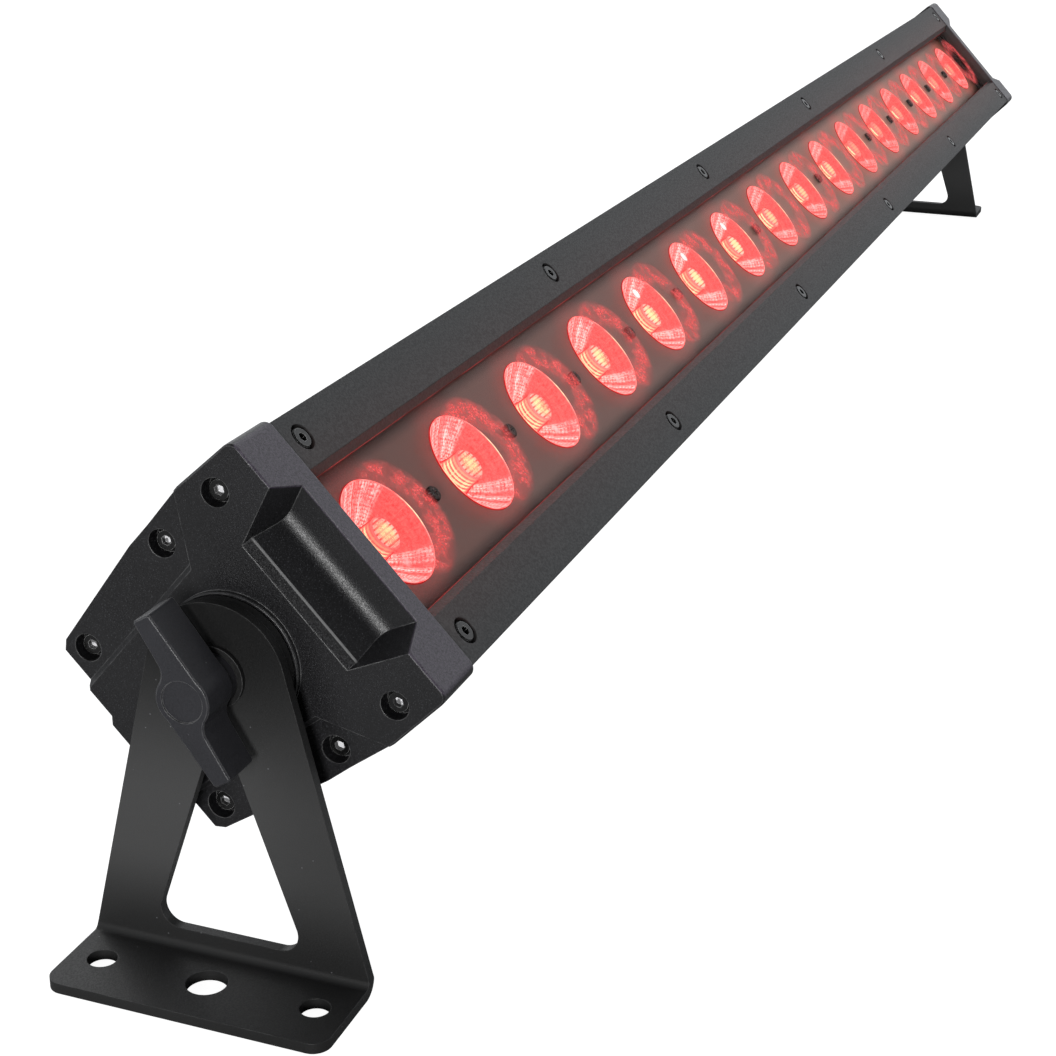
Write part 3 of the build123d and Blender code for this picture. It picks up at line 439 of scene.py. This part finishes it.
def make_lens_die(group, detail):
    """The lit chips under the tube's dome: pale yellow bars on red, plainer where detail is less."""
    g = Graph("lens_die_" + group)
    x, y, _ = g.split(g.place())
    reach = g.length(g.join(x, y))
    grit = g.noise(g.place(), 900.0, 2.0, 0.7)
    bars = stripes(g, g.math("MULTIPLY_ADD", grit, 0.00012, y), DIE_BAR_PITCH)
    bars = g.fade(bars, 0.08, 0.45)
    middle = g.fade(reach, 0.0048, 0.0018)
    lit = g.blend(middle, (1.0, 0.55, 0.46, 1.0), (1.0, 0.93, 0.46, 1.0))
    between = g.blend(middle, (0.85, 0.06, 0.06, 1.0), (1.0, 0.60, 0.34, 1.0))
    colour = g.blend(detail, (1.0, 0.15, 0.14, 1.0), g.blend(bars, between, lit))
    colour = g.blend(g.fade(reach, 0.0046, 0.0050), colour, (1.0, 0.22, 0.20, 1.0))
    return g.finish(lit_from_within(g, colour, 1.0))


def make_lens_skin(name, glint_radius, glint_strength):
    """The clear front of a lens: see-through, with a faint bloom, two small painted glints and sharp
    reflections.
    """
    g = Graph(name)
    reach, away, _ = polar(g)
    x, y, _ = g.split(g.place())
    clear = g.node("BsdfTransparent", {"Color": (1.0, 1.0, 1.0, 1.0)}).outputs[0]
    gloss = g.node("BsdfGlossy", {"Color": (1.0, 0.80, 0.78, 1.0), "Roughness": 0.08}).outputs[0]
    mirror = g.node("LayerWeight", {"Blend": 0.15}).outputs["Fresnel"]
    surface = g.node("MixShader", {0: g.math("MULTIPLY", mirror, 0.03), 1: clear, 2: gloss}).outputs[0]
    streaks = g.fade(g.noise(away, 24.0, 3.0, 0.7), 0.45, 0.8)
    haze = g.math("MULTIPLY", g.fade(reach, 0.004, LENS_RADIUS), g.math("MULTIPLY_ADD", streaks, 0.16, 0.03))
    # Two painted glints, as emission.
    upper = g.length(g.join(x, g.math("SUBTRACT", y, 0.0098)))
    upper = g.fade(upper, glint_radius, glint_radius * 0.6, 0.0, glint_strength)
    lower = g.length(g.join(g.math("ADD", x, 0.003), g.math("ADD", y, 0.0092)))
    lower = g.fade(lower, 0.0032, 0.0004, 0.0, 0.55)
    glint = g.math("MAXIMUM", upper, lower)
    bloom = lit_from_within(g, g.blend(glint, (1.0, 0.20, 0.19, 1.0), (1.0, 0.96, 0.96, 1.0)), 1.0)
    return g.finish(g.node("MixShader", {0: g.math("MAXIMUM", haze, glint), 1: surface, 2: bloom}).outputs[0])


def lathe(name, profile, materials):
    """A mesh turned around Z from (radius, height, material index of the band that follows)."""
    bm = bmesh.new()
    rings = []
    for radius, height, _ in profile:
        if radius == 0:
            rings.append([bm.verts.new((0, 0, height))])
            continue
        angles = [2 * math.pi * i / LATHE_STEPS for i in range(LATHE_STEPS)]
        rings.append([bm.verts.new((radius * math.cos(a), radius * math.sin(a), height)) for a in angles])
    for (lower, upper), (_, _, index) in zip(zip(rings, rings[1:]), profile):
        for i in range(LATHE_STEPS):
            j = (i + 1) % LATHE_STEPS
            corners = [ring[k % len(ring)] for ring, k in ((lower, i), (lower, j), (upper, j), (upper, i))]
            face = bm.faces.new(dict.fromkeys(corners))
            face.material_index = index
            face.smooth = True
    bmesh.ops.recalc_face_normals(bm, faces=bm.faces)
    mesh = bpy.data.meshes.new(name)
    bm.to_mesh(mesh)
    bm.free()
    for material in materials:
        mesh.materials.append(material)
    return mesh


def add_piece(name, mesh, matrix, body):
    piece = bpy.data.objects.new(name, mesh)
    bpy.context.scene.collection.objects.link(piece)
    piece.matrix_world = matrix
    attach(piece, body)
    return piece


def make_lenses():
    """A moulded collimator with a clear front for each lens node, in its place."""
    rim = make_lens_rim()
    cups = []
    for group, detail in LENS_GROUPS:
        wall, core, die = [make(group, detail) for make in (make_lens_wall, make_lens_core, make_lens_die)]
        cups.append(lathe("lens_cup_" + group, CUP_PROFILE, [wall, rim, core, die]))
    plain_skin = make_lens_skin("lens_skin", glint_radius=0.0012, glint_strength=0.55)
    plain_front = lathe("lens_front", FRONT_PROFILE, [plain_skin])
    glinting_skin = make_lens_skin("lens_skin_glinting", glint_radius=0.0026, glint_strength=1.0)
    glinting_front = lathe("lens_front_glinting", FRONT_PROFILE, [glinting_skin])
    turn = Matrix.Rotation(TILT, 4, "X")
    for number in range(1, LENS_COUNT + 1):
        low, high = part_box(f"lens_{number:02d}")
        centre = Vector(((low.x + high.x) / 2, 0, 0))
        seat = Matrix.Translation(PIVOT) @ turn @ Matrix.Translation(centre + Vector((0, 0, RIM_LEVEL)))
        spin = Matrix.Rotation(LENS_SPIN * (number % 3 - 1), 4, "Z")
        cup_mesh = cups[(number > LAST_NEAR_LENS) + (number > LAST_MIDDLE_LENS)]
        piece = add_piece(f"collimator_{number:02d}", cup_mesh, seat, "bar")
        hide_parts(f"lens_{number:02d}")
        front_mesh = glinting_front if number in GLINTING_LENSES else plain_front
        add_piece(f"collimator_front_{number:02d}", front_mesh, seat @ spin, "bar")


# ---------------------------------------------------------------- other materials
def make_threaded_steel():
    """Bright steel with a thread drawn in its relief, for the plain cylinders of studs and inserts."""
    g = Graph("threaded_steel")
    x, _, _ = g.split(g.place())
    thread = g.node("TexWave", {"Vector": g.join(x, 0.0, 0.0), "Scale": 128.0, "Distortion": 0.0},
                    bands_direction="X").outputs["Fac"]
    streaks = g.noise(g.place(), 900.0, 3.0)
    colour = g.blend(streaks, (0.42, 0.42, 0.40, 1.0), (0.66, 0.66, 0.63, 1.0))
    return g.finish(g.principled(Base_Color=colour, Metallic=1.0, Roughness=0.32,
                                 Normal=g.bump(thread, 0.6, 0.0004)))


def make_plain_metal(name, dark, light, rough, grain):
    """Bare metal drawn along the bar, so its grain is long in X."""
    g = Graph(name)
    x, y, z = g.split(g.place())
    drawn = g.noise(g.join(g.math("MULTIPLY", x, 0.06), y, z), grain, 3.0, 0.6)
    colour = g.blend(g.fade(drawn, 0.3, 0.7), dark, light)
    gloss = g.fade(drawn, 0.3, 0.7, rough - 0.06, rough + 0.08)
    return g.finish(g.principled(Base_Color=colour, Metallic=1.0, Roughness=gloss,
                                 Normal=g.bump(drawn, 0.15, 0.0001)))


def make_circuit_board():
    """Green lacquer with lighter lines for tracks."""
    g = Graph("circuit_board")
    place = g.place()
    tracks = g.node("TexBrick", {"Vector": place, "Scale": 160.0, "Mortar Size": 0.03, "Bias": 0.0,
                                 "Color1": (0.010, 0.090, 0.035, 1.0), "Color2": (0.014, 0.115, 0.045, 1.0),
                                 "Mortar": (0.030, 0.190, 0.080, 1.0)}).outputs["Color"]
    fine = g.noise(place, 1500.0, 2.0)
    return g.finish(g.principled(Base_Color=tracks, Roughness=0.35, Normal=g.bump(fine, 0.1, 0.0001)))


def make_white_board():
    """The white lacquer of the LED boards."""
    g = Graph("white_board")
    fine = g.noise(g.place(), 1200.0, 3.0)
    colour = g.blend(fine, (0.62, 0.60, 0.56, 1.0), (0.80, 0.78, 0.74, 1.0))
    return g.finish(g.principled(Base_Color=colour, Roughness=0.4, Normal=g.bump(fine, 0.1, 0.0001)))


def make_led_package():
    """LED packages, lit in warm red."""
    g = Graph("led_package")
    cells = g.noise(g.place(), 800.0, 2.0)
    colour = g.blend(cells, (0.75, 0.45, 0.20, 1.0), (0.95, 0.85, 0.55, 1.0))
    return g.finish(g.principled(Base_Color=colour, Roughness=0.2, Emission_Color=(1.0, 0.25, 0.15, 1.0),
                                 Emission_Strength=g.fade(cells, 0.3, 0.7, 0.6, 1.2)))


def dress(nodes, material):
    """Gives CAD nodes their one material."""
    for name in nodes:
        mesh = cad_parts[name].data
        mesh.materials.clear()
        mesh.materials.append(material)


def dress_all():
    ends = ("near_", "far_")
    violet = (1.0, 0.98, 1.08)
    casting = coated("textured_casting", grey(0.006, violet), grey(0.013, violet), 0.36, 2600.0, 0.40,
                     edge=grey(0.16), sparkle=0.10, shade=cap_shade)
    bracket = coated("bracket_coat", grey(0.003), grey(0.006), 0.50, 3000.0, 0.22,
                     edge=grey(0.06), edge_radius=0.0003, shade=leg_shade, specular=0.30)
    knob = coated("knob_plastic", grey(0.015, (1.0, 1.0, 1.20)), grey(0.026, (1.0, 1.0, 1.18)), 0.36,
                  2400.0, 0.20, edge=grey(0.16))
    plastic = coated("moulded_plastic", grey(0.016), grey(0.024), 0.45, 2400.0, 0.25)
    washer = coated("black_washer", grey(0.002), grey(0.005), 0.55, 2400.0, 0.20, edge=grey(0.10),
                    edge_radius=0.0003)
    rubber = coated("black_rubber", grey(0.008), grey(0.014), 0.62, 1800.0, 0.15, edge=grey(0.16),
                    edge_radius=0.0003)
    oxide = coated("black_oxide", grey(0.003), grey(0.008), 0.20, 1400.0, 0.10,
                   edge=grey(0.36), edge_radius=0.0003)
    # The cap screws' oxide, with painted glints in their sockets.
    glinting_oxide = coated("black_oxide_with_glints", grey(0.003), grey(0.008), 0.20, 1400.0, 0.10,
                         edge=grey(0.36), edge_radius=0.0003, shade=socket_glint_paint)
    # Panel screws with strong painted glints.
    panel_screw = coated("panel_screw_oxide", grey(0.003), grey(0.008), 0.50, 1500.0, 0.60,
                         edge=grey(0.20), edge_radius=0.0003, sparkle=0.6)
    dress(["housing", "bezel_strip_upper", "bezel_strip_lower"], make_powder_coat())
    dress([end + "cap" for end in ends], casting)
    dress([end + "bracket" for end in ends], bracket)
    dress([end + "knob" for end in ends], knob)
    sockets = [kind + end for kind in ("power_", "signal_") for end in ("inlet", "outlet")]
    dress(["socket_caps", "vent_plug"] + sockets, plastic)
    dress([end + "washer" for end in ends], washer)
    dress(["glass_gasket"] + [end + part for end in ends for part in ("cap_gasket", "friction_disc")], rubber)
    dress(["bezel_screws", "board_screws"], oxide)
    dress([end + "cap_screws" for end in ends], glinting_oxide)
    dress(["panel_screws"], panel_screw)
    dress(["front_glass"], make_window_glass())
    dress(["lens_panel"], make_panel_paint())
    dress(["led_board_near", "led_board_far"], make_white_board())
    dress(["leds_near", "leds_far"], make_led_package())
    dress(["power_supply"], make_plain_metal("supply_case", grey(0.35), grey(0.55), 0.38, 700.0))
    dress(["panel_standoffs"],
          make_plain_metal("standoff_brass", (0.45, 0.30, 0.10, 1.0), (0.70, 0.52, 0.22, 1.0), 0.3, 900.0))
    dress(["control_board"], make_circuit_board())
    dress([end + part for end in ends for part in ("thread_insert", "knob_stud")], make_threaded_steel())


# ---------------------------------------------------------------- stage
def make_stage():
    """A plain floor that the camera sees as white, and that sends a weaker light to the part."""
    mesh = bpy.data.meshes.new("studio_floor")
    signs = ((-1, -1), (1, -1), (1, 1), (-1, 1))
    corners = [(across * FLOOR_REACH, along * FLOOR_REACH, FLOOR_LEVEL) for across, along in signs]
    mesh.from_pydata(corners, [], [(0, 1, 2, 3)])
    floor = bpy.data.objects.new("studio_floor", mesh)
    bpy.context.scene.collection.objects.link(floor)
    g = Graph("studio_white")
    bounce = g.node("BsdfDiffuse", {"Color": grey(0.44)}).outputs[0]
    paper = g.node("BsdfDiffuse", {"Color": grey(0.35)}).outputs[0]
    glow = g.node("Emission", {"Color": grey(1.0), "Strength": 0.95}).outputs[0]
    shown = g.node("AddShader", {0: paper, 1: glow}).outputs[0]
    seen = g.node("LightPath").outputs["Is Camera Ray"]
    mesh.materials.append(g.finish(g.node("MixShader", {0: seen, 1: bounce, 2: shown}).outputs[0]))


def add_softbox(name, place, target, size, power):
    """A white square light of that size and power, turned to its target."""
    data = bpy.data.lights.new(name, "AREA")
    data.shape = "RECTANGLE"
    data.size = size
    data.size_y = size
    data.energy = power
    lamp = bpy.data.objects.new(name, data)
    bpy.context.scene.collection.objects.link(lamp)
    lamp.location = place
    lamp.rotation_euler = (Vector(target) - Vector(place)).to_track_quat("-Z", "Y").to_euler()


def make_lights():
    """Two softboxes, and a sky that lights more from +X and +Y and that the camera sees as white."""
    add_softbox("key_softbox", place=(-2.26, -0.43, 0.48), target=(-0.45, 0, 0.08), size=0.5, power=25.0)
    add_softbox("back_softbox", place=(0.9, 2.1, 1.5), target=(0.1, 0, 0.08), size=1.6, power=24.0)
    world = bpy.data.worlds.new("studio")
    bpy.context.scene.world = world
    world.use_nodes = True
    nodes, links = world.node_tree.nodes, world.node_tree.links
    nodes.clear()
    parts = nodes.new("ShaderNodeSeparateXYZ")
    links.new(nodes.new("ShaderNodeTexCoord").outputs["Generated"], parts.inputs[0])
    brighter = nodes.new("ShaderNodeMath")
    brighter.operation = "MAXIMUM"
    towards_x = (-0.1, 0.75, 0.06, 0.95)
    towards_y = (0.1, 0.9, 0.06, 0.8)
    for socket, axis, numbers in zip(brighter.inputs, "XY", (towards_x, towards_y)):
        ramp = nodes.new("ShaderNodeMapRange")
        ramp.interpolation_type = "SMOOTHSTEP"
        for name, value in zip(("From Min", "From Max", "To Min", "To Max"), numbers):
            ramp.inputs[name].default_value = value
        links.new(parts.outputs[axis], ramp.inputs["Value"])
        links.new(ramp.outputs[0], socket)
    dim = nodes.new("ShaderNodeBackground")
    dim.inputs["Color"].default_value = (0.95, 0.97, 1.0, 1.0)
    links.new(brighter.outputs[0], dim.inputs["Strength"])
    white = nodes.new("ShaderNodeBackground")
    white.inputs["Color"].default_value = (1.0, 1.0, 1.0, 1.0)
    white.inputs["Strength"].default_value = 1.0
    path = nodes.new("ShaderNodeLightPath")
    choose = nodes.new("ShaderNodeMixShader")
    out = nodes.new("ShaderNodeOutputWorld")
    links.new(path.outputs["Is Camera Ray"], choose.inputs[0])
    links.new(dim.outputs[0], choose.inputs[1])
    links.new(white.outputs[0], choose.inputs[2])
    links.new(choose.outputs[0], out.inputs["Surface"])


def make_camera():
    """The photograph's camera, as fitted to its measured points."""
    data = bpy.data.cameras.new("photo_camera")
    data.sensor_width = 36.0
    data.lens = CAMERA_LENS
    data.clip_start = 0.02
    data.clip_end = 60.0
    camera = bpy.data.objects.new("photo_camera", data)
    bpy.context.scene.collection.objects.link(camera)
    axes = Matrix((CAMERA_RIGHT, -CAMERA_DOWN, -CAMERA_FORWARD)).transposed()
    camera.matrix_world = Matrix.Translation(CAMERA_PLACE) @ axes.to_4x4()
    bpy.context.scene.camera = camera


make_camera()
make_stage()
make_lights()
dress_all()
make_lenses()

bpy.context.scene.view_settings.view_transform = "Standard"
bpy.context.view_layer.update()
